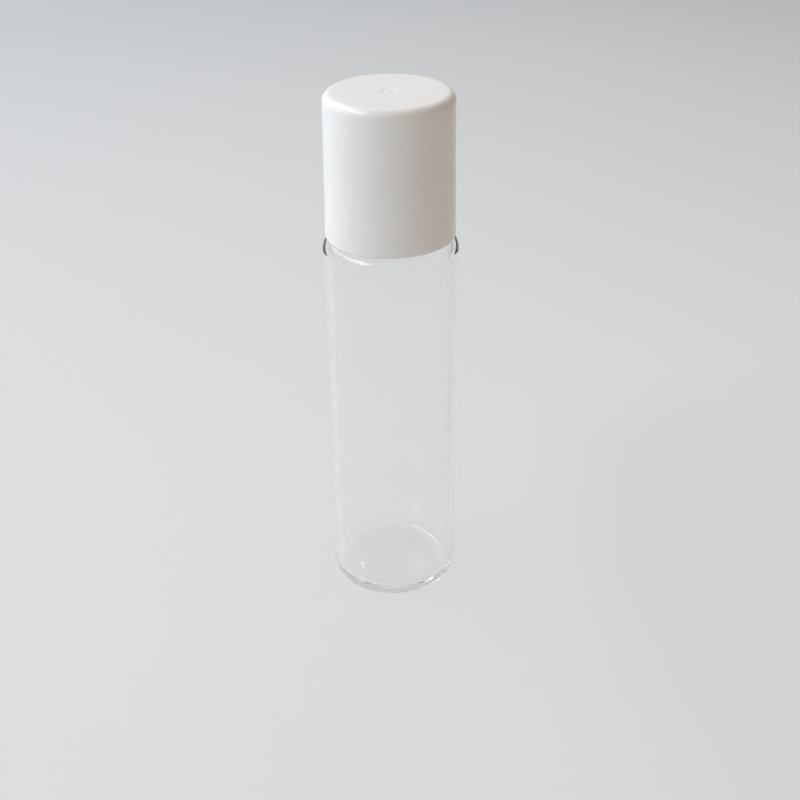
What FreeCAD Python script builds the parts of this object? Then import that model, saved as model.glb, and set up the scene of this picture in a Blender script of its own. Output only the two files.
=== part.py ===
import FreeCAD, Part
import Sketcher
import os
import re

# Driving sizes in millimetres, degrees and turns
SIZES = {
    # glass bottle, from its base up
    "body_d": 20.0,
    "glass_wall": 1.25,
    "base_thick": 1.4,
    "heel_r": 1.6,
    "inner_heel_r": 0.9,
    "push_d": 12.0,
    "push_up": 0.45,
    "shoulder_angle": 8.0,
    "shoulder_wall": 0.95,
    "shoulder_r": 2.0,
    "inner_shoulder_r": 1.4,
    "neck_root_r": 0.6,
    "inner_neck_r": 1.2,
    "slope_round_share": 0.9,
    "neck_d": 14.2,
    "neck_h": 7.02,
    "glass_h": 67.0,
    "lip_r": 0.4,
    # screw thread, one start and right handed
    "thread_depth": 0.7,
    "thread_lead": 3.2,
    "thread_rise": 1.52,
    "thread_top_gap": 1.66,
    "cap_thread_turns": 0.9,
    "thread_fade_turns": 0.2,
    "thread_root_w": 2.0,
    "thread_crest_w": 0.9,
    "thread_clear": 0.25,
    "thread_sink": 0.1,
    # ball housing pressed into the neck
    "plug_len": 6.4,
    "plug_wall": 1.1,
    "plug_clear": 0.1,
    "plug_lead_in": 0.5,
    "rib_w": 0.9,
    "rib_clear": 0.02,
    "flange_step": 0.05,
    "front_wall": 0.89,
    "front_round_r": 1.15,
    "socket_clear": 0.06,
    "socket_floor": 1.2,
    "feed_hole_d": 6.4,
    # steel ball
    "ball_d": 11.6,
    "ball_rise": 5.0,
    "lip_rise": 2.5,
    # screw cap and its sealing disc
    "seal_gap": 0.3,
    "liner_thick": 1.2,
    "liner_clear": 0.1,
    "liner_edge_r": 0.2,
    "cap_top_wall": 1.7,
    "cap_wall": 1.5,
    "cap_top_d": 18.5,
    "cap_round_r": 1.2,
    "cap_rim_r": 0.3,
    "cap_rim_gap": 0.12,
    "cap_thread_rise": 2.1,
    "gate_d": 2.4,
    "gate_depth": 0.1,
    "gate_nub_d": 0.8,
    "gate_nub_h": 0.06,
}

# Heights of the three sealing ribs, as shares of the plug's length
RIB_HEIGHT_SHARES = (0.3, 0.52, 0.74)

# Sizes and heights that follow from the driving ones
PLACES = {
    "body_r": "body_d / 2",
    "body_bore_r": "body_r - glass_wall",
    "neck_r": "neck_d / 2",
    "neck_bore_r": "neck_r - glass_wall",
    "neck_z": "glass_h - neck_h",
    "shoulder_z": "neck_z - (body_r - neck_r) * tan(shoulder_angle)",
    "inner_drop": "shoulder_wall / cos(shoulder_angle) - glass_wall * tan(shoulder_angle)",
    "slope_len": "(body_r - neck_r) / cos(shoulder_angle)",
    "slope_room": "slope_round_share * slope_len / tan(45 - shoulder_angle / 2)",
    "round_fit": "min(1; slope_room / (shoulder_r + neck_root_r))",
    "shoulder_round": "shoulder_r * round_fit",
    "neck_root_round": "neck_root_r * round_fit",
    "inner_round_fit": "min(1; slope_room / (inner_shoulder_r + inner_neck_r))",
    "inner_shoulder_round": "inner_shoulder_r * inner_round_fit",
    "inner_neck_round": "inner_neck_r * inner_round_fit",
    "push_sphere_r": "((push_d / 2) ^ 2 + push_up ^ 2) / (2 * push_up)",
    "thread_r": "neck_r + thread_depth",
    "thread_z": "neck_z + thread_rise",
    "neck_thread_turns": "(glass_h - thread_top_gap - thread_z) / thread_lead",
    "plug_r": "neck_bore_r - plug_clear",
    "well_r": "plug_r - plug_wall",
    "rib_r": "neck_bore_r - rib_clear",
    "flange_r": "neck_r - flange_step",
    "socket_r": "ball_d / 2 + socket_clear",
    "socket_z": "plug_len + ball_rise",
    "well_top": "socket_z - socket_r - socket_floor",
    "front_r": "socket_r + front_wall",
    "front_z": "socket_z + lip_rise",
    "ball_z": "glass_h + ball_rise",
    "liner_z": "ball_z + ball_d / 2 + seal_gap",
    "cap_rim_z": "neck_z + cap_rim_gap",
    "cap_h": "liner_z + liner_thick + cap_top_wall - cap_rim_z",
    "cap_ceiling": "cap_h - cap_top_wall",
    "cap_bore_r": "thread_r + thread_clear",
    "cap_rim_out_r": "cap_bore_r + cap_wall",
    "cap_top_bore_r": "cap_top_d / 2 - cap_wall",
    "cap_taper_z": "glass_h - cap_rim_z",
    "cap_crest_r": "neck_r + thread_clear",
    "cap_gate_z": "cap_h - gate_depth",
}

# Two heights or radii closer than this are the same edge
SAME_EDGE = 1e-5

doc = FreeCAD.newDocument("roll_on_bottle")
sheet = doc.addObject("Spreadsheet::Sheet", "sheet")
for row, (name, size) in enumerate(SIZES.items(), 1):
    sheet.set(f"A{row}", name)
    sheet.set(f"B{row}", str(size))
    sheet.setAlias(f"B{row}", name)
doc.recompute()


def formula(words):
    """The expression for words, with each name leading back to cells of the sheet."""

    def cell(match):
        name = match[0]
        if name in PLACES:
            return f"({formula(PLACES[name])})"
        return f"sheet.{name}" if name in SIZES else name

    return re.sub(r"[a-z_]+", cell, words)


def value(words):
    """What words come to at the sheet's present sizes."""
    return float(sheet.evalExpression(formula(words)))


def new_body(label, base_z="0"):
    """An empty body whose own floor stands at base_z."""
    body = doc.addObject("PartDesign::Body", label)
    body.Label = label
    body.setExpression("Placement.Base.z", formula(base_z))
    return body


def attach(feature, body, role):
    """Lay feature on one of its own body's origin planes."""
    plane = next(item for item in body.Origin.OriginFeatures if item.Role == role)
    feature.AttachmentSupport = [(plane, "")]
    feature.MapMode = "FlatFace"


def outline(body, name, points):
    """A closed outline of straight lines in the XZ plane, each corner a radius and a height."""
    sketch = body.newObject("Sketcher::SketchObject", name)
    attach(sketch, body, "XZ_Plane")
    corners = [FreeCAD.Vector(value(radius), value(height), 0) for radius, height in points]
    for start, end in zip(corners, corners[1:] + corners[:1]):
        sketch.addGeometry(Part.LineSegment(start, end))
    for line, (radius, height) in enumerate(points):
        before = line - 1 if line else len(points) - 1
        sketch.addConstraint(Sketcher.Constraint("Coincident", before, 2, line, 1))
        for kind, words, axis in (("DistanceX", radius, -2), ("DistanceY", height, -1)):
            if words == "0":
                sketch.addConstraint(Sketcher.Constraint("PointOnObject", line, 1, axis))
                continue
            number = sketch.addConstraint(Sketcher.Constraint(kind, -1, 1, line, 1, value(words)))
            sketch.setExpression(f"Constraints[{number}]", formula(words))
    return sketch


def turn(body, name, points):
    """A solid of revolution about the body's Z axis."""
    sketch = outline(body, f"{name}_outline", points)
    turned = body.newObject("PartDesign::Revolution", name)
    turned.Profile = sketch
    turned.ReferenceAxis = (sketch, ["V_Axis"])
    turned.Angle = 360
    doc.recompute()


def round_edge(shape, radius, height):
    """The name of the circular edge of that radius at that height."""
    for number, edge in enumerate(shape.Edges, 1):
        curve = edge.Curve
        if not isinstance(curve, Part.Circle):
            continue
        if abs(curve.Radius - radius) < SAME_EDGE and abs(curve.Center.z - height) < SAME_EDGE:
            return f"Edge{number}"
    raise ValueError(f"no edge of radius {radius} at height {height}")


def dress(body, name, kind, size, rings):
    """Fillet or chamfer the circular edges in rings, each a radius and a height."""
    base = body.Tip
    shape = base.Shape
    edges = [round_edge(shape, value(radius), value(height)) for radius, height in rings]
    feature = body.newObject(f"PartDesign::{kind}", name)
    feature.Base = (base, edges)
    feature.setExpression("Radius" if kind == "Fillet" else "Size", formula(size))
    doc.recompute()


def hollow_sphere(body, name, radius, height):
    """Cut a sphere centred on the body's axis."""
    sphere = body.newObject("PartDesign::SubtractiveSphere", name)
    attach(sphere, body, "XY_Plane")
    sphere.setExpression("Radius", formula(radius))
    sphere.setExpression("AttachmentOffset.Base.z", formula(height))
    doc.recompute()


def ridge_run(body, name, section, turns, cone="0", downwards=False):
    """Carry a ridge's section round the body's axis, sinking into the wall where cone isn't zero."""
    helix = body.newObject("PartDesign::AdditiveHelix", name)
    helix.Profile = section
    helix.ReferenceAxis = (section, ["V_Axis"])
    helix.Mode = "pitch-turns-angle"
    helix.Reversed = downwards
    helix.setExpression("Pitch", formula("thread_lead"))
    helix.setExpression("Turns", formula(turns))
    helix.setExpression("Angle", formula(cone))
    doc.recompute()


def screw_thread(body, name, root_r, crest_r, height, turns):
    """A right-handed ridge from the XZ plane at height, which fades into the wall at both ends."""
    sections = []
    for end, turned in (("start", "0"), ("finish", turns)):
        middle = f"{height} + thread_lead * {turned}"
        section = outline(body, f"{name}_{end}", [
            (root_r, f"{middle} - thread_root_w / 2"),
            (crest_r, f"{middle} - thread_crest_w / 2"),
            (crest_r, f"{middle} + thread_crest_w / 2"),
            (root_r, f"{middle} + thread_root_w / 2"),
        ])
        section.AttachmentOffset = FreeCAD.Placement(
            FreeCAD.Vector(), FreeCAD.Rotation(FreeCAD.Vector(0, 1, 0), 360 * value(turned)))
        section.setExpression("AttachmentOffset.Rotation.Angle", formula(f"360 * {turned}"))
        sections.append(section)
    start, finish = sections
    fade = f"-atan(({crest_r} - ({root_r})) / (thread_fade_turns * thread_lead))"
    ridge_run(body, name, start, turns)
    ridge_run(body, f"{name}_run_in", start, "thread_fade_turns", fade, downwards=True)
    ridge_run(body, f"{name}_run_out", finish, "thread_fade_turns", fade)


def make_bottle():
    """One blown piece of clear glass: flat base, straight body, round shoulder, threaded neck."""
    body = new_body("bottle")
    turn(body, "glass", [
        ("0", "0"),
        ("body_r", "0"),
        ("body_r", "shoulder_z"),
        ("neck_r", "neck_z"),
        ("neck_r", "glass_h"),
        ("neck_bore_r", "glass_h"),
        ("neck_bore_r", "neck_z - inner_drop"),
        ("body_bore_r", "shoulder_z - inner_drop"),
        ("body_bore_r", "base_thick"),
        ("0", "base_thick"),
    ])
    dress(body, "heel", "Fillet", "heel_r", [("body_r", "0")])
    dress(body, "inner_heel", "Fillet", "inner_heel_r", [("body_bore_r", "base_thick")])
    dress(body, "shoulder", "Fillet", "shoulder_round", [("body_r", "shoulder_z")])
    dress(body, "inner_shoulder", "Fillet", "inner_shoulder_round",
          [("body_bore_r", "shoulder_z - inner_drop")])
    dress(body, "neck_root", "Fillet", "neck_root_round", [("neck_r", "neck_z")])
    dress(body, "inner_neck_root", "Fillet", "inner_neck_round",
          [("neck_bore_r", "neck_z - inner_drop")])
    dress(body, "lip", "Fillet", "lip_r", [("neck_r", "glass_h"), ("neck_bore_r", "glass_h")])
    hollow_sphere(body, "push_up_dome", "push_sphere_r", "push_up - push_sphere_r")
    screw_thread(body, "neck_thread", "neck_r - thread_sink", "thread_r", "thread_z", "neck_thread_turns")
    return body


def make_ball_housing():
    """A moulded plug with sealing ribs, a flange on the glass rim and a socket round the ball."""
    body = new_body("ball_housing", "glass_h - plug_len")
    ribs = []
    for share in RIB_HEIGHT_SHARES:
        middle = f"plug_len * {share}"
        ribs += [
            ("plug_r", f"{middle} - rib_w / 2"),
            ("rib_r", middle),
            ("plug_r", f"{middle} + rib_w / 2"),
        ]
    turn(body, "plug", [
        ("well_r", "0"),
        ("plug_r", "0"),
        *ribs,
        ("plug_r", "plug_len"),
        ("flange_r", "plug_len"),
        ("front_r", "front_z"),
        ("feed_hole_d / 2", "front_z"),
        ("feed_hole_d / 2", "well_top"),
        ("well_r", "well_top"),
    ])
    dress(body, "lead_in", "Chamfer", "plug_lead_in", [("plug_r", "0")])
    dress(body, "front_round", "Fillet", "front_round_r", [("front_r", "front_z")])
    hollow_sphere(body, "socket", "socket_r", "socket_z")
    return body


def make_roller_ball():
    """The steel ball, free to roll in the housing's socket."""
    ball = doc.addObject("Part::Sphere", "roller_ball")
    ball.Label = "roller_ball"
    ball.setExpression("Radius", formula("ball_d / 2"))
    ball.setExpression("Placement.Base.z", formula("ball_z"))
    doc.recompute()
    return ball


def make_cap_liner():
    """The soft disc in the top of the cap that closes over the ball."""
    body = new_body("cap_liner", "liner_z")
    liner_r = "cap_top_bore_r - liner_clear"
    turn(body, "disc", [("0", "0"), (liner_r, "0"), (liner_r, "liner_thick"), ("0", "liner_thick")])
    dress(body, "disc_edges", "Fillet", "liner_edge_r", [(liner_r, "0"), (liner_r, "liner_thick")])
    return body


def make_cap():
    """The moulded screw cap, with its thread inside and the gate's mark in the middle of its top."""
    body = new_body("cap", "cap_rim_z")
    turn(body, "shell", [
        ("cap_bore_r", "0"),
        ("cap_rim_out_r", "0"),
        ("cap_top_d / 2", "cap_h"),
        ("gate_d / 2", "cap_h"),
        ("gate_d / 2", "cap_gate_z"),
        ("gate_nub_d / 2", "cap_gate_z"),
        ("gate_nub_d / 2", "cap_gate_z + gate_nub_h"),
        ("0", "cap_gate_z + gate_nub_h"),
        ("0", "cap_ceiling"),
        ("cap_top_bore_r", "cap_ceiling"),
        ("cap_bore_r", "cap_taper_z"),
    ])
    dress(body, "top_round", "Fillet", "cap_round_r", [("cap_top_d / 2", "cap_h")])
    dress(body, "rim_edges", "Fillet", "cap_rim_r", [("cap_rim_out_r", "0"), ("cap_bore_r", "0")])
    screw_thread(body, "cap_thread", "cap_bore_r + thread_sink", "cap_crest_r", "cap_thread_rise",
                 "cap_thread_turns")
    # the closed cap is turned until its ridge lies half a lead below the neck's ridge
    mesh_turn = "360 * ((cap_rim_z + cap_thread_rise - thread_z) / thread_lead + 1 / 2)"
    body.setExpression("Placement.Rotation.Angle", formula(mesh_turn))
    doc.recompute()
    return body


pieces = [make_bottle(), make_ball_housing(), make_roller_ball(), make_cap_liner(), make_cap()]
doc.recompute()

# Every object has to be sound before a file is written
for item in doc.Objects:
    if {"Invalid", "Error"} & set(item.State):
        raise RuntimeError(f"{item.Label} failed: {item.State}")
for piece in pieces:
    shape = piece.Shape
    if shape.isNull() or not shape.isValid() or len(shape.Solids) != 1:
        raise RuntimeError(f"{piece.Label} is not one sound solid")

os.makedirs("parts", exist_ok=True)
for piece in pieces:
    piece.Shape.exportStep(f"parts/{piece.Label}.step")
    box = piece.Shape.BoundBox
    print(f"{piece.Label}: volume {piece.Shape.Volume:.1f} mm3, z {box.ZMin:.2f} to {box.ZMax:.2f} mm")
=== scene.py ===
# %% [markdown]
# # A glass roll-on bottle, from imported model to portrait
# The construction of this small bottle is already settled: five solids, their sizes and their joints
# come packed in a frame. This lesson gives each of them a visual piece of its own, turned on a lathe of
# bmesh operators, and a finish made of shader nodes. The real object is a glass tube with a threaded
# neck, a white plug that holds a steel ball, and a glossy screw cap with a soft disc inside. Loading the
# frame comes first, because every size below is set against it.

# %% Load the frame and keep its box
import math

import bmesh
import bpy
from mathutils import Matrix, Vector
from mathutils.bvhtree import BVHTree


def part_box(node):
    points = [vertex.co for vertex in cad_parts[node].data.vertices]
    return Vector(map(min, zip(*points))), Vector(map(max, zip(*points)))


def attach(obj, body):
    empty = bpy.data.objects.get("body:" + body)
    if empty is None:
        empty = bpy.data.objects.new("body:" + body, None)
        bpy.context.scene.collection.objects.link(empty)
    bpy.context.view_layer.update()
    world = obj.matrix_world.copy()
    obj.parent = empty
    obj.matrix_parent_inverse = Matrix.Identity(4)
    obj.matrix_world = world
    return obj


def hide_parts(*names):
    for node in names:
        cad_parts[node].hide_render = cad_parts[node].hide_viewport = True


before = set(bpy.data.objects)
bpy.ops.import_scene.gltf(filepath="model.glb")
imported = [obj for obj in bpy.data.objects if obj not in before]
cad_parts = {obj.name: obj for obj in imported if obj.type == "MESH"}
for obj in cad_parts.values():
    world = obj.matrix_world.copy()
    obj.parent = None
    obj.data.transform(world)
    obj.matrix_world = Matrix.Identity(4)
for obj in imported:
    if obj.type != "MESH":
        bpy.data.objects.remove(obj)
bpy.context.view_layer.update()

MM = 0.001
scene = bpy.context.scene

# %% [markdown]
# ## The camera
# The portrait is taken from a hand's length away and well above the table, so the bottle narrows towards
# its base. A camera can be placed by eye, but matching two vanishing directions by eye takes many tries.
# Here its place, tilt and lens are the values that put the cap's two rims and the base ring where they
# are in the portrait. A camera in Blender looks down its own -Z axis, so an unturned one looks at the
# floor: it is first raised by a right angle less its tilt, and then rolled about its own line of sight.

# %% Camera
CAMERA_PLACE = Vector((1.164, -164.72, 130.32)) * MM
CAMERA_TILT = math.radians(30.917)
CAMERA_ROLL = math.radians(-0.503)
SENSOR_SIDE = 36.0
LENS = 54.83
NEAREST_SEEN = 10 * MM

camera_data = bpy.data.cameras.new("portrait_camera")
camera_data.sensor_width = SENSOR_SIDE
camera_data.lens = LENS
camera_data.clip_start = NEAREST_SEEN
camera = bpy.data.objects.new("portrait_camera", camera_data)
turned = Matrix.Rotation(math.pi / 2 - CAMERA_TILT, 4, "X") @ Matrix.Rotation(CAMERA_ROLL, 4, "Z")
camera.matrix_world = Matrix.Translation(CAMERA_PLACE) @ turned
scene.collection.objects.link(camera)
scene.camera = camera

# %% [markdown]
# ## A lathe made of three operators
# Every piece of this bottle is round, and all but the ball are one outline spun about Z. An outline could
# be a list of many sampled points, but then its roundings would be frozen in the list. Instead it has one
# vertex for each corner, and a vertex bevel turns a corner into an arc: for an arc of radius R where the
# outline turns by an angle, the bevel starts R times the tangent of half that angle away from the
# corner. Long edges are then cut into short ones. With smooth shading, a normal is blended along each
# edge, and short edges keep that blend close to the rounding that it belongs to.

# %% Outline, cuts and spin
SPIN_STEPS = 240
ROUND_STEP = math.radians(8)
FEWEST_EDGES = 3
SAME_PLACE = 0.001 * MM


def outline(corners):
    """A wire in the XZ plane, each corner a radius, a height and the radius of its rounding."""
    wire = bmesh.new()
    line = [wire.verts.new((radius, 0, height)) for radius, height, _ in corners]
    for start, end in zip(line, line[1:]):
        wire.edges.new((start, end))
    for corner, (_, _, rounding) in zip(line, corners):
        if not rounding:
            continue
        ahead, behind = (edge.other_vert(corner).co - corner.co for edge in corner.link_edges)
        bend = math.pi - ahead.angle(behind)
        edges = max(FEWEST_EDGES, round(bend / ROUND_STEP))
        bmesh.ops.bevel(wire, geom=[corner], offset=rounding * math.tan(bend / 2), offset_type="OFFSET",
                        segments=edges, profile=0.5, affect="VERTICES", material=-1)
    return wire


def cut_edges(wire, longest, low=-math.inf, high=math.inf):
    """Cut the edges whose middle lies between two heights until none is longer than longest."""
    for edge in list(wire.edges):
        middle = (edge.verts[0].co.z + edge.verts[1].co.z) / 2
        cuts = int(edge.calc_length() / longest)
        if cuts and low < middle < high:
            bmesh.ops.subdivide_edges(wire, edges=[edge], cuts=cuts)


def spin_round(wire):
    """Spin the outline once round Z, close its poles and point its faces outwards."""
    bmesh.ops.spin(wire, geom=wire.verts[:] + wire.edges[:], cent=(0, 0, 0), axis=(0, 0, 1),
                   angle=math.tau, steps=SPIN_STEPS, use_merge=True, use_duplicate=False)
    bmesh.ops.remove_doubles(wire, verts=wire.verts, dist=SAME_PLACE)
    bmesh.ops.recalc_face_normals(wire, faces=wire.faces)
    return wire


print("a right angle is rounded by", round(math.pi / 2 / ROUND_STEP), "edges, and a ring has", SPIN_STEPS)

# %% [markdown]
# ## From bmesh to a piece of the object
# A bmesh becomes a piece when it has a mesh, an object at the origin, a finish and a place in the frame.
# Riding on a body makes it move with that body's joint, and replacing a node hides the plain solid that
# it stands for. A lesson that only looks right can still be wrong by a millimetre, so the helper also
# measures how far the new surface strays from the solid, with a search tree over the solid's triangles.

# %% Make a piece and measure it against its solid


def make_piece(shape, name, node, body, finish):
    """Turn a bmesh into a smooth piece that rides on a body in place of a CAD node."""
    for face in shape.faces:
        face.smooth = True
    open_edges = sum(not edge.is_manifold for edge in shape.edges)
    mesh = bpy.data.meshes.new(name)
    shape.to_mesh(mesh)
    shape.free()
    mesh.materials.append(finish)
    piece = bpy.data.objects.new(name, mesh)
    scene.collection.objects.link(piece)
    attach(piece, body)
    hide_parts(node)
    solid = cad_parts[node].data
    tree = BVHTree.FromPolygons([v.co for v in solid.vertices], [p.vertices for p in solid.polygons])
    stray = max(tree.find_nearest(v.co)[3] for v in mesh.vertices)
    triangles = sum(len(p.vertices) - 2 for p in mesh.polygons)
    print(f"{name}: {triangles} triangles, {open_edges} open edges, at most {stray / MM:.2f} mm from {node}")


# %% [markdown]
# ## Nodes in a few words
# A finish is a small graph: a noise in the piece's own coordinates, a range that the noise is mapped to,
# and a socket that it drives. These helpers keep each of those steps to one line. All pieces sit at the
# origin, so their Object coordinates are metres in the frame, and a noise scale of 1000 has a grain of
# about a millimetre. A noise seldom comes near 0 or 1, so only the middle of its range is stretched over
# the values that it drives.

# %% Helpers for finishes
NOISE_LOW = 0.3
NOISE_HIGH = 0.7


def new_finish(name):
    """A material with its node tree and its Principled shader."""
    finish = bpy.data.materials.new(name)
    finish.use_nodes = True
    return finish, finish.node_tree, finish.node_tree.nodes["Principled BSDF"]


def add_node(tree, kind, sockets=None, **settings):
    """A node with some of its sockets and settings filled in."""
    node = tree.nodes.new(kind)
    for name, value in settings.items():
        setattr(node, name, value)
    for name, value in (sockets or {}).items():
        node.inputs[name].default_value = value
    return node


def grain(tree, scale, detail=2.0, stretch=(1, 1, 1)):
    """A noise over the piece, its grain stretched along the axes."""
    place = add_node(tree, "ShaderNodeTexCoord")
    mapping = add_node(tree, "ShaderNodeMapping", {"Scale": stretch})
    noise = add_node(tree, "ShaderNodeTexNoise", {"Scale": scale, "Detail": detail})
    tree.links.new(place.outputs["Object"], mapping.inputs["Vector"])
    tree.links.new(mapping.outputs["Vector"], noise.inputs["Vector"])
    return noise.outputs["Fac"]


def drive(tree, source, socket, low, high):
    """Let a noise move a socket between two values."""
    ends = {"From Min": NOISE_LOW, "From Max": NOISE_HIGH, "To Min": low, "To Max": high}
    spread = add_node(tree, "ShaderNodeMapRange", ends)
    tree.links.new(source, spread.inputs["Value"])
    tree.links.new(spread.outputs["Result"], socket)


def tint(tree, source, socket, dark, pale):
    """Let a noise move a colour socket between two colours."""
    ramp = add_node(tree, "ShaderNodeValToRGB")
    for stop, place, colour in zip(ramp.color_ramp.elements, (NOISE_LOW, NOISE_HIGH), (dark, pale)):
        stop.position = place
        stop.color = (*colour, 1)
    tree.links.new(source, ramp.inputs["Fac"])
    tree.links.new(ramp.outputs["Color"], socket)


def emboss(tree, shader, *layers):
    """Stack bumps, each a noise and its height in metres, on the shader's normal."""
    normal = None
    for source, height in layers:
        bump = add_node(tree, "ShaderNodeBump", {"Strength": 1.0, "Distance": height})
        tree.links.new(source, bump.inputs["Height"])
        if normal:
            tree.links.new(normal, bump.inputs["Normal"])
        normal = bump.outputs["Normal"]
    tree.links.new(normal, shader.inputs["Normal"])


def any_ray(tree, *kinds):
    """A factor of 1 for rays of any of these kinds and 0 for all others."""
    rays = add_node(tree, "ShaderNodeLightPath")
    factor = rays.outputs[kinds[0]]
    for kind in kinds[1:]:
        either = add_node(tree, "ShaderNodeMath", operation="MAXIMUM")
        tree.links.new(factor, either.inputs[0])
        tree.links.new(rays.outputs[kind], either.inputs[1])
        factor = either.outputs["Value"]
    return factor


def choose_shader(tree, factor, shader, other, output):
    """Send a shader to the output, and the other one where the factor is 1."""
    choice = add_node(tree, "ShaderNodeMixShader")
    tree.links.new(factor, choice.inputs["Fac"])
    tree.links.new(shader, choice.inputs[1])
    tree.links.new(other, choice.inputs[2])
    tree.links.new(choice.outputs["Shader"], tree.nodes[output].inputs["Surface"])


print("a noise between", NOISE_LOW, "and", NOISE_HIGH, "drives a socket over its whole range")

# %% [markdown]
# ## Clear glass
# The bottle is made from drawn tube, so its surface is fire polished, with faint draw lines along its
# length and a slow waviness left by the hot forming. Blender's Principled shader is glass once its
# transmission is 1. Light for the floor and for the pieces behind the glass would have to find its way
# through two bent surfaces, which leaves grainy shadows, so rays that carry light from lamps and from
# diffuse surfaces go straight through a faintly grey Transparent shader instead. Rays that are seen,
# reflected or refracted meet the real glass.

# %% Glass finish
GLASS_TINT = (0.990, 0.992, 0.984)
SHADOW_TINT = (0.982, 0.983, 0.978)
GLASS_IOR = 1.5
WAVE_HEIGHT = 0.02 * MM
DRAW_LINE_HEIGHT = 0.001 * MM


def glass_finish():
    finish, tree, shader = new_finish("clear_tube_glass")
    shader.inputs["Base Color"].default_value = (*GLASS_TINT, 1)
    shader.inputs["Transmission Weight"].default_value = 1.0
    shader.inputs["IOR"].default_value = GLASS_IOR
    drive(tree, grain(tree, 160.0), shader.inputs["Roughness"], 0.0, 0.02)
    draw_lines = grain(tree, 900.0, detail=1.0, stretch=(1, 1, 0.02))
    waviness = grain(tree, 140.0, detail=0.0, stretch=(1, 1, 0.3))
    emboss(tree, shader, (waviness, WAVE_HEIGHT), (draw_lines, DRAW_LINE_HEIGHT))
    straight = add_node(tree, "ShaderNodeBsdfTransparent", {"Color": (*SHADOW_TINT, 1)})
    light_rays = any_ray(tree, "Is Shadow Ray", "Is Diffuse Ray")
    choose_shader(tree, light_rays, shader.outputs["BSDF"], straight.outputs["BSDF"], "Material Output")
    return finish


clear_glass = glass_finish()
print("made", clear_glass.name, "with", len(clear_glass.node_tree.nodes), "nodes")

# %% [markdown]
# ## The screw thread
# The neck carries one right-handed ridge that climbs 3.2 mm a turn and sinks into the glass at both
# ends, and the cap carries its counterpart inside. A ridge could be a separate coil pushed into the
# wall, but in glass every hidden overlap shows. So the neck is spun with closely spaced rings, and the
# vertices that lie on the ridge's path move straight out from the axis, by the height that the ridge has
# there.

# %% Raise a ridge on a spun wall
THREAD_LEAD = 3.2 * MM
THREAD_DEPTH = 0.7 * MM
FADE_TURNS = 0.2
RIDGE_FOOT = 0.94 * MM
RIDGE_CREST = 0.36 * MM
RING_GAP = 0.13 * MM
ON_WALL = 10 * SAME_PLACE


def smooth_step(share):
    """A soft climb from 0 to 1."""
    share = min(max(share, 0.0), 1.0)
    return share * share * (3 - 2 * share)


def raise_thread(shape, wall_r, height, start_z, turns, start_angle=0.0):
    """Move the vertices of a wall out, or in where height is negative, along a right-handed helix."""
    moved = 0
    for vertex in shape.verts:
        radius = math.hypot(vertex.co.x, vertex.co.y)
        if abs(radius - wall_r) > ON_WALL:
            continue
        angle = (math.atan2(vertex.co.y, vertex.co.x) - start_angle) % math.tau / math.tau
        lift = 0.0
        for turn in (angle - 1, angle, angle + 1):
            off = abs(vertex.co.z - start_z - THREAD_LEAD * turn)
            ends = min(turn + FADE_TURNS, turns + FADE_TURNS - turn) / FADE_TURNS
            flank = (RIDGE_FOOT - off) / (RIDGE_FOOT - RIDGE_CREST)
            lift = max(lift, smooth_step(ends) * smooth_step(flank))
        grown = 1 + height * lift / radius
        vertex.co.x *= grown
        vertex.co.y *= grown
        moved += lift > 0
    bmesh.ops.recalc_face_normals(shape, faces=shape.faces)
    return moved


print(f"the ridge climbs {THREAD_LEAD / MM:.1f} mm a turn and stands {THREAD_DEPTH / MM:.1f} mm high")

# %% [markdown]
# ## The bottle
# One outline goes up the outside and down the inside of the glass, so a single spin makes a closed wall
# with its real thickness. That matters more for glass than for any other material: a shell without
# thickness bends light only once and looks like a soap bubble. The base is pushed up in the middle, so
# that the bottle stands on a ring, and the heel, shoulder and lip are rounded as hot glass rounds
# itself.

# %% Bottle glass
_, bottle_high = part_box("bottle")
body_r = bottle_high.x
glass_top = bottle_high.z
GLASS_WALL = 1.25 * MM
BASE_THICK = 1.4 * MM
BASE_CROWN = 0.25 * MM
CROWN_DOME_R = 30 * MM
CROWN_EDGE_R = 10 * MM
PUSH_R = 6.0 * MM
PUSH_UP = 0.45 * MM
PUSH_DOME_R = 38 * MM
PUSH_EDGE_R = 3 * MM
HEEL_R = 1.6 * MM
INNER_HEEL_R = 0.9 * MM
NECK_R = 7.1 * MM
NECK_LENGTH = 7.02 * MM
SHOULDER_ANGLE = math.radians(8)
SHOULDER_WALL = 0.95 * MM
SHOULDER_R = 2.0 * MM
INNER_SHOULDER_R = 1.4 * MM
NECK_ROOT_R = 0.6 * MM
INNER_NECK_R = 1.2 * MM
LIP_R = 0.4 * MM
THREAD_RISE = 1.52 * MM
NECK_TURNS = 1.2
GLASS_EDGE = 2 * MM

neck_z = glass_top - NECK_LENGTH
shoulder_z = neck_z - (body_r - NECK_R) * math.tan(SHOULDER_ANGLE)
inner_drop = SHOULDER_WALL / math.cos(SHOULDER_ANGLE) - GLASS_WALL * math.tan(SHOULDER_ANGLE)
bore_r = NECK_R - GLASS_WALL
inside_r = body_r - GLASS_WALL

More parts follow.
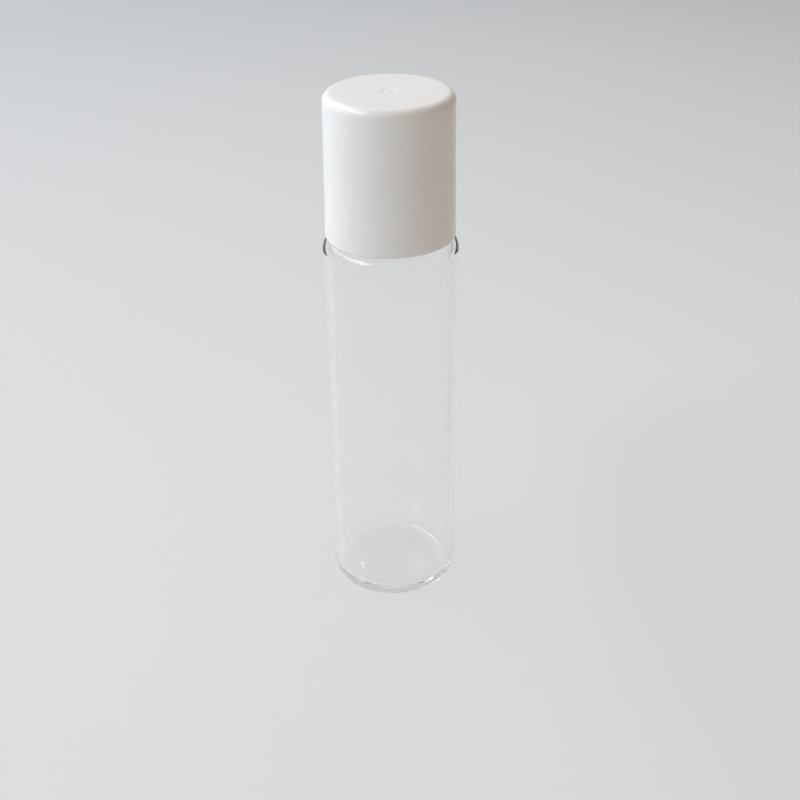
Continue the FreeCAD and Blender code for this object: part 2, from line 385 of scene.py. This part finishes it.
glass = outline([
    (0, PUSH_UP, 0),
    (PUSH_R / 2, PUSH_UP, PUSH_DOME_R),
    (PUSH_R, 0, PUSH_EDGE_R),
    (body_r, 0, HEEL_R),
    (body_r, shoulder_z, SHOULDER_R),
    (NECK_R, neck_z, NECK_ROOT_R),
    (NECK_R, glass_top, LIP_R),
    (bore_r, glass_top, LIP_R),
    (bore_r, neck_z - inner_drop, INNER_NECK_R),
    (inside_r, shoulder_z - inner_drop, INNER_SHOULDER_R),
    (inside_r, BASE_THICK, INNER_HEEL_R),
    (PUSH_R, BASE_THICK, CROWN_EDGE_R),
    (PUSH_R / 2, BASE_THICK + BASE_CROWN, CROWN_DOME_R),
    (0, BASE_THICK + BASE_CROWN, 0),
])
cut_edges(glass, RING_GAP, neck_z + NECK_ROOT_R / 2, glass_top - LIP_R)
cut_edges(glass, GLASS_EDGE)
spin_round(glass)
thread_z = neck_z + THREAD_RISE
moved = raise_thread(glass, NECK_R, THREAD_DEPTH, thread_z, NECK_TURNS)
print("vertices moved for the neck's ridge:", moved)
make_piece(glass, "bottle_glass", "bottle", "bottle", clear_glass)

# %% [markdown]
# ## Satin plastic and the ball housing
# The housing is moulded from a soft, slightly translucent plastic, with the dull sheen of a mould that
# was blasted rather than polished. A little subsurface light keeps its edges from looking like plaster.
# Its outline closes on itself: the plug with three sealing ribs, the flange on the glass rim, the
# tapered collar, and the socket, whose arc is one vertex spun about the ball's centre.

# %% Satin finish
SATIN_DEPTH = 1.0 * MM
BLAST_HEIGHT = 0.002 * MM
FLOW_HEIGHT = 0.004 * MM


def satin_finish():
    finish, tree, shader = new_finish("satin_housing_plastic")
    tint(tree, grain(tree, 300.0), shader.inputs["Base Color"], (0.84, 0.85, 0.86), (0.88, 0.89, 0.90))
    drive(tree, grain(tree, 700.0), shader.inputs["Roughness"], 0.34, 0.44)
    shader.inputs["Subsurface Weight"].default_value = 0.2
    shader.inputs["Subsurface Radius"].default_value = (1.0, 0.9, 0.8)
    shader.inputs["Subsurface Scale"].default_value = SATIN_DEPTH
    blast_marks = grain(tree, 5000.0)
    flow_marks = grain(tree, 500.0)
    emboss(tree, shader, (blast_marks, BLAST_HEIGHT), (flow_marks, FLOW_HEIGHT))
    return finish


satin_plastic = satin_finish()
print("made", satin_plastic.name)

# %% Ball housing
housing_low, housing_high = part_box("ball_housing")
ball_low, ball_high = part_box("roller_ball")
ball_r = ball_high.x
ball_z = (ball_low.z + ball_high.z) / 2
PLUG_R = 5.75 * MM
WELL_R = 4.65 * MM
RIB_R = 5.83 * MM
RIB_WIDTH = 0.9 * MM
RIB_ROUND_R = 0.4 * MM
RIB_SHARES = (0.3, 0.52, 0.74)
SOCKET_GAP = 0.06 * MM
SOCKET_WALL = 0.89 * MM
SOCKET_FLOOR = 1.2 * MM
SOCKET_STEPS = 24
FEED_R = 3.2 * MM
FEED_EDGE_R = 0.15 * MM
WELL_CORNER_R = 0.4 * MM
PLUG_RIM_R = 0.2 * MM
PLUG_LEAD_IN = 0.5 * MM
PLUG_LEAD_R = 0.4 * MM
FLANGE_ROOT_R = 0.1 * MM
FLANGE_EDGE_R = 0.12 * MM
FRONT_ROUND_R = 1.15 * MM
FINE_EDGE = 0.8 * MM

socket_r = ball_r + SOCKET_GAP
front_r = socket_r + SOCKET_WALL
well_roof = ball_z - socket_r - SOCKET_FLOOR
plug_length = glass_top - housing_low.z
ribs = []
for share in RIB_SHARES:
    middle = housing_low.z + plug_length * share
    ribs += [
        (PLUG_R, middle - RIB_WIDTH / 2, 0),
        (RIB_R, middle, RIB_ROUND_R),
        (PLUG_R, middle + RIB_WIDTH / 2, 0),
    ]
lip_height = housing_high.z - ball_z
lip_r = math.sqrt(socket_r ** 2 - lip_height ** 2)
seat_drop = math.sqrt(socket_r ** 2 - FEED_R ** 2)
socket_arc = math.asin(lip_height / socket_r) + math.asin(seat_drop / socket_r)

housing = outline([
    (FEED_R, ball_z - seat_drop, 0),
    (FEED_R, well_roof, FEED_EDGE_R),
    (WELL_R, well_roof, WELL_CORNER_R),
    (WELL_R, housing_low.z, PLUG_RIM_R),
    (PLUG_R - PLUG_LEAD_IN, housing_low.z, PLUG_RIM_R),
    (PLUG_R, housing_low.z + PLUG_LEAD_IN, PLUG_LEAD_R),
    *ribs,
    (PLUG_R, glass_top, FLANGE_ROOT_R),
    (housing_high.x, glass_top, FLANGE_EDGE_R),
    (front_r, housing_high.z, FRONT_ROUND_R),
    (lip_r, housing_high.z, 0),
])
lip = max((v for v in housing.verts if len(v.link_edges) == 1), key=lambda v: v.co.z)
bmesh.ops.spin(housing, geom=[lip], cent=(0, 0, ball_z), axis=(0, 1, 0), angle=socket_arc,
               steps=SOCKET_STEPS, use_merge=False, use_duplicate=False)
bmesh.ops.remove_doubles(housing, verts=housing.verts, dist=SAME_PLACE)
cut_edges(housing, FINE_EDGE)
spin_round(housing)
make_piece(housing, "housing_moulding", "ball_housing", "bottle", satin_plastic)

# %% [markdown]
# ## Polished steel and the ball
# A bearing ball is ground and lapped until only hair-fine marks are left, and it shows mostly what is
# around it. A sphere spun from an outline has two poles where its faces crowd together, and a mirror
# shows that at once. An icosphere has even triangles all over, so it is the better start for a ball that
# rolls.

# %% Steel finish
HAIRLINE_HEIGHT = 0.0004 * MM


def steel_finish():
    finish, tree, shader = new_finish("polished_ball_steel")
    tint(tree, grain(tree, 250.0), shader.inputs["Base Color"], (0.66, 0.65, 0.64), (0.74, 0.73, 0.72))
    shader.inputs["Metallic"].default_value = 1.0
    drive(tree, grain(tree, 400.0, detail=4.0), shader.inputs["Roughness"], 0.05, 0.11)
    hairlines = grain(tree, 2500.0, detail=1.0, stretch=(1, 0.05, 1))
    emboss(tree, shader, (hairlines, HAIRLINE_HEIGHT))
    return finish


polished_steel = steel_finish()
print("made", polished_steel.name)

# %% Steel ball
BALL_CUTS = 6
ball = bmesh.new()
ball_place = Matrix.Translation((0, 0, ball_z))
bmesh.ops.create_icosphere(ball, subdivisions=BALL_CUTS, radius=ball_r, matrix=ball_place)
make_piece(ball, "steel_ball", "roller_ball", "roller_ball", polished_steel)

# %% [markdown]
# ## Foam and the sealing disc
# The disc in the cap is punched from a sheet of closed-cell foam, so it is dull, with tiny cells in its
# faces and edges that the punch has rounded. Its underside has a shallow ring where it has been pressed
# on the ball.

# %% Foam finish
CELL_HEIGHT = 0.03 * MM


def foam_finish():
    finish, tree, shader = new_finish("liner_cell_foam")
    specks = grain(tree, 900.0, detail=4.0)
    tint(tree, specks, shader.inputs["Base Color"], (0.78, 0.78, 0.76), (0.87, 0.87, 0.85))
    drive(tree, grain(tree, 1500.0), shader.inputs["Roughness"], 0.75, 0.95)
    place = add_node(tree, "ShaderNodeTexCoord")
    cells = add_node(tree, "ShaderNodeTexVoronoi", {"Scale": 4000.0})
    tree.links.new(place.outputs["Object"], cells.inputs["Vector"])
    emboss(tree, shader, (cells.outputs["Distance"], CELL_HEIGHT))
    return finish


cell_foam = foam_finish()
print("made", cell_foam.name)

# %% Sealing disc
liner_low, liner_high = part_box("cap_liner")
EDGE_R = 0.2 * MM
PRESS_R = 2.4 * MM
PRESS_DEPTH = 0.08 * MM
PRESS_SLOPE = 0.6 * MM
PRESS_ROUND_R = 0.6 * MM
disc = outline([
    (0, liner_low.z + PRESS_DEPTH, 0),
    (PRESS_R, liner_low.z + PRESS_DEPTH, PRESS_ROUND_R),
    (PRESS_R + PRESS_SLOPE, liner_low.z, PRESS_ROUND_R),
    (liner_high.x, liner_low.z, EDGE_R),
    (liner_high.x, liner_high.z, EDGE_R),
    (0, liner_high.z, 0),
])
cut_edges(disc, FINE_EDGE)
spin_round(disc)
make_piece(disc, "liner_disc", "cap_liner", "cap_liner", cell_foam)

# %% [markdown]
# ## Glossy plastic and the cap
# The cap is moulded in a polished tool, so it is glossy and even, with the faint ripple that shrinking
# plastic leaves under a gloss. Its sides lean in a little, so that it leaves the tool, and in the middle
# of its top the gate has left a shallow dimple with a nub. The outline runs from the ceiling down the
# inside, round the rim, up the outside and in to the nub. The ridge inside runs midway between the turns
# of the neck's ridge, so that the two slide past each other as the cap turns.

# %% Glossy finish
GLOSS_DEPTH = 0.8 * MM
RIPPLE_HEIGHT = 0.006 * MM
SKIN_HEIGHT = 0.0006 * MM


def gloss_finish():
    finish, tree, shader = new_finish("glossy_cap_plastic")
    tint(tree, grain(tree, 120.0), shader.inputs["Base Color"], (0.87, 0.87, 0.86), (0.90, 0.90, 0.895))
    drive(tree, grain(tree, 350.0, detail=3.0), shader.inputs["Roughness"], 0.08, 0.13)
    shader.inputs["Subsurface Weight"].default_value = 0.15
    shader.inputs["Subsurface Radius"].default_value = (1.0, 0.95, 0.85)
    shader.inputs["Subsurface Scale"].default_value = GLOSS_DEPTH
    ripple = grain(tree, 220.0, detail=1.0, stretch=(1, 1, 0.35))
    skin = grain(tree, 2500.0, detail=1.0)
    emboss(tree, shader, (ripple, RIPPLE_HEIGHT), (skin, SKIN_HEIGHT))
    return finish


glossy_plastic = gloss_finish()
print("made", glossy_plastic.name)

# %% Cap
cap_low, cap_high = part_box("cap")
CAP_WALL = 1.5 * MM
CAP_TOP_R = 9.25 * MM
CAP_TOP_WALL = 1.7 * MM
CAP_ROUND_R = 1.2 * MM
CAP_RIM_R = 0.3 * MM
CEILING_ROUND_R = 0.4 * MM
GATE_R = 1.2 * MM
GATE_SLOPE = 0.4 * MM
GATE_DEPTH = 0.1 * MM
GATE_RIM_R = 1.2 * MM
GATE_FLOOR_R = 0.8 * MM
NUB_R = 0.4 * MM
NUB_SLOPE = 0.1 * MM
NUB_HEIGHT = 0.06 * MM
NUB_ROUND_R = 0.1 * MM
CAP_THREAD_RISE = 2.1 * MM
CAP_TURNS = 0.9
CAP_EDGE = 1 * MM

cap_bore_r = cap_high.x - CAP_WALL
ceiling = cap_high.z - CAP_TOP_WALL
dimple = cap_high.z - GATE_DEPTH
cap = outline([
    (0, ceiling, 0),
    (CAP_TOP_R - CAP_WALL, ceiling, CEILING_ROUND_R),
    (cap_bore_r, glass_top, 0),
    (cap_bore_r, cap_low.z, CAP_RIM_R),
    (cap_high.x, cap_low.z, CAP_RIM_R),
    (CAP_TOP_R, cap_high.z, CAP_ROUND_R),
    (GATE_R, cap_high.z, GATE_RIM_R),
    (GATE_R - GATE_SLOPE, dimple, GATE_FLOOR_R),
    (NUB_R + NUB_SLOPE, dimple, NUB_ROUND_R),
    (NUB_R, dimple + NUB_HEIGHT, NUB_ROUND_R),
    (0, dimple + NUB_HEIGHT, 0),
])
cut_edges(cap, RING_GAP, cap_low.z + CAP_RIM_R, glass_top - CAP_RIM_R)
cut_edges(cap, CAP_EDGE)
spin_round(cap)
cap_thread_z = cap_low.z + CAP_THREAD_RISE
mesh_turn = math.tau * ((cap_thread_z - thread_z) / THREAD_LEAD + 1 / 2)
moved = raise_thread(cap, cap_bore_r, -THREAD_DEPTH, cap_thread_z, CAP_TURNS, start_angle=mesh_turn)
print("vertices moved for the cap's ridge:", moved)
make_piece(cap, "cap_shell", "cap", "cap", glossy_plastic)

# %% [markdown]
# ## The table
# The bottle stands on a plain pale sheet. A flat colour would make the shadow look cut out, so the sheet
# has the slight mottle and tooth of smooth card, and its colour holds a painted pool of light: it is painted
# darker with the distance from a point just right of the bottle, as light falls off on a sheet on a table.
# Far from the bottle it fades into the backdrop, so that no horizon cuts across a
# low view.

# %% Floor
FLOOR_SIDE = 4.0
FLOOR_CUTS = 8
# Painted light: the floor's colour goes from a lit colour at a point just right of the bottle to a dim
# colour half a metre away, a painted pool of light.
PAINTED_LIT_COLOUR = (0.835, 0.842, 0.852)
PAINTED_DIM_COLOUR = (0.55, 0.575, 0.60)
MOTTLE_SHARE = 0.06
TOOTH_HEIGHT = 0.01 * MM
PAINTED_LIGHT_CENTRE = (0.09, -0.03, 0.0)
PAINTED_DIM_AT = 0.5
FADE_FROM = 0.55
FADE_TO = 1.2


def card_finish():
    finish, tree, shader = new_finish("pale_card")
    place = add_node(tree, "ShaderNodeTexCoord")
    away = add_node(tree, "ShaderNodeVectorMath", operation="DISTANCE")
    away.inputs[1].default_value = PAINTED_LIGHT_CENTRE
    painted_falloff = add_node(tree, "ShaderNodeMapRange", {"From Max": PAINTED_DIM_AT})
    mottle = add_node(tree, "ShaderNodeMath", operation="MULTIPLY_ADD")
    mottle.inputs[1].default_value = MOTTLE_SHARE
    # A painted pool of light: this ramp paints the base colour darker with the distance from the lit point.
    painted_light_ramp = add_node(tree, "ShaderNodeValToRGB")
    painted_light_ramp.color_ramp.elements[0].color = (*PAINTED_LIT_COLOUR, 1)
    painted_light_ramp.color_ramp.elements[1].color = (*PAINTED_DIM_COLOUR, 1)
    tree.links.new(place.outputs["Object"], away.inputs[0])
    tree.links.new(away.outputs["Value"], painted_falloff.inputs["Value"])
    tree.links.new(grain(tree, 6.0), mottle.inputs[0])
    tree.links.new(painted_falloff.outputs["Result"], mottle.inputs[2])
    tree.links.new(mottle.outputs["Value"], painted_light_ramp.inputs["Fac"])
    tree.links.new(painted_light_ramp.outputs["Color"], shader.inputs["Base Color"])
    drive(tree, grain(tree, 60.0), shader.inputs["Roughness"], 0.5, 0.6)
    shader.inputs["Specular IOR Level"].default_value = 0.3
    emboss(tree, shader, (grain(tree, 1200.0), TOOTH_HEIGHT))
    gone = add_node(tree, "ShaderNodeMapRange", {"From Min": FADE_FROM, "From Max": FADE_TO},
                    interpolation_type="SMOOTHSTEP")
    clear = add_node(tree, "ShaderNodeBsdfTransparent")
    tree.links.new(away.outputs["Value"], gone.inputs["Value"])
    far_away = gone.outputs["Result"]
    choose_shader(tree, far_away, shader.outputs["BSDF"], clear.outputs["BSDF"], "Material Output")
    return finish


sheet = bmesh.new()
bmesh.ops.create_grid(sheet, x_segments=FLOOR_CUTS, y_segments=FLOOR_CUTS, size=FLOOR_SIDE / 2)
floor_mesh = bpy.data.meshes.new("pale_floor")
sheet.to_mesh(floor_mesh)
sheet.free()
floor_mesh.materials.append(card_finish())
floor = bpy.data.objects.new("pale_floor", floor_mesh)
scene.collection.objects.link(floor)
print("floor side in m:", FLOOR_SIDE)

# %% [markdown]
# ## The light
# The bottle is lit by a long window above on the left, in a room that is brown and dim towards the
# right. Many lamps could imitate that, but each would leave its own highlight on the gloss. Here a world
# whose colour follows the direction gives the room's soft light, and one long area lamp gives the
# window, which also shows in the gloss, the glass and the steel. Where the camera looks past the floor,
# directly, in a reflection or through the glass, it sees a plain pale backdrop instead of the room.
# Light inside a glass wall can be turned back many times before it finds its way out, and each turn
# counts as a bounce. With too few bounces the thick heel and shoulder go black, so the limits are
# raised.

# %% Room and window
WINDOW_WAY = Vector((-0.62, 0.15, 0.77)).normalized()
WINDOW_DISTANCE = 0.9
WINDOW_LENGTH = 1.37
WINDOW_WIDTH = 0.38
WINDOW_WATTS = 6.2
WINDOW_COLOUR = (0.96, 1.0, 1.05)
ROOM_STRENGTH = 1.2
BROWN_WAY = Vector((0.90, -0.30, 0.30)).normalized()
ROOM_COLOURS = {
    0.0: (0.90, 0.91, 0.92),
    0.25: (0.73, 0.76, 0.78),
    0.5: (0.45, 0.47, 0.485),
    0.7: (0.22, 0.175, 0.13),
    1.0: (0.32, 0.22, 0.12),
}
BACKDROP_COLOUR = (0.60, 0.61, 0.62)
LIGHT_BOUNCES = 32


def room_light():
    world = bpy.data.worlds.new("soft_room")
    world.use_nodes = True
    scene.world = world
    tree = world.node_tree
    way = add_node(tree, "ShaderNodeTexCoord")
    along = add_node(tree, "ShaderNodeVectorMath", operation="DOT_PRODUCT")
    along.inputs[1].default_value = BROWN_WAY
    share = add_node(tree, "ShaderNodeMapRange", {"From Min": -1.0, "From Max": 1.0})
    ramp = add_node(tree, "ShaderNodeValToRGB")
    for place in list(ROOM_COLOURS)[1:-1]:
        ramp.color_ramp.elements.new(place)
    for stop, colour in zip(ramp.color_ramp.elements, ROOM_COLOURS.values()):
        stop.color = (*colour, 1)
    tree.links.new(way.outputs["Generated"], along.inputs[0])
    tree.links.new(along.outputs["Value"], share.inputs["Value"])
    tree.links.new(share.outputs["Result"], ramp.inputs["Fac"])
    room = add_node(tree, "ShaderNodeBackground", {"Strength": ROOM_STRENGTH})
    tree.links.new(ramp.outputs["Color"], room.inputs["Color"])
    backdrop = add_node(tree, "ShaderNodeBackground", {"Color": (*BACKDROP_COLOUR, 1)})
    looks = any_ray(tree, "Is Camera Ray", "Is Glossy Ray", "Is Transmission Ray")
    choose_shader(tree, looks, room.outputs["Background"], backdrop.outputs["Background"], "World Output")


def window_light():
    along = Vector((0, 1, 0)) - WINDOW_WAY * WINDOW_WAY.y
    along.normalize()
    turned = Matrix((along, WINDOW_WAY.cross(along), WINDOW_WAY)).transposed().to_4x4()
    pane = bpy.data.lights.new("long_window", "AREA")
    pane.shape = "RECTANGLE"
    pane.size = WINDOW_LENGTH
    pane.size_y = WINDOW_WIDTH
    pane.energy = WINDOW_WATTS
    pane.color = WINDOW_COLOUR
    lamp = bpy.data.objects.new("long_window", pane)
    lamp.matrix_world = Matrix.Translation(WINDOW_WAY * WINDOW_DISTANCE) @ turned
    scene.collection.objects.link(lamp)


room_light()
window_light()
scene.cycles.max_bounces = LIGHT_BOUNCES
scene.cycles.transmission_bounces = LIGHT_BOUNCES
scene.cycles.glossy_bounces = LIGHT_BOUNCES
scene.view_settings.view_transform = "Standard"
print("window at", [round(x, 2) for x in WINDOW_WAY * WINDOW_DISTANCE], "m")
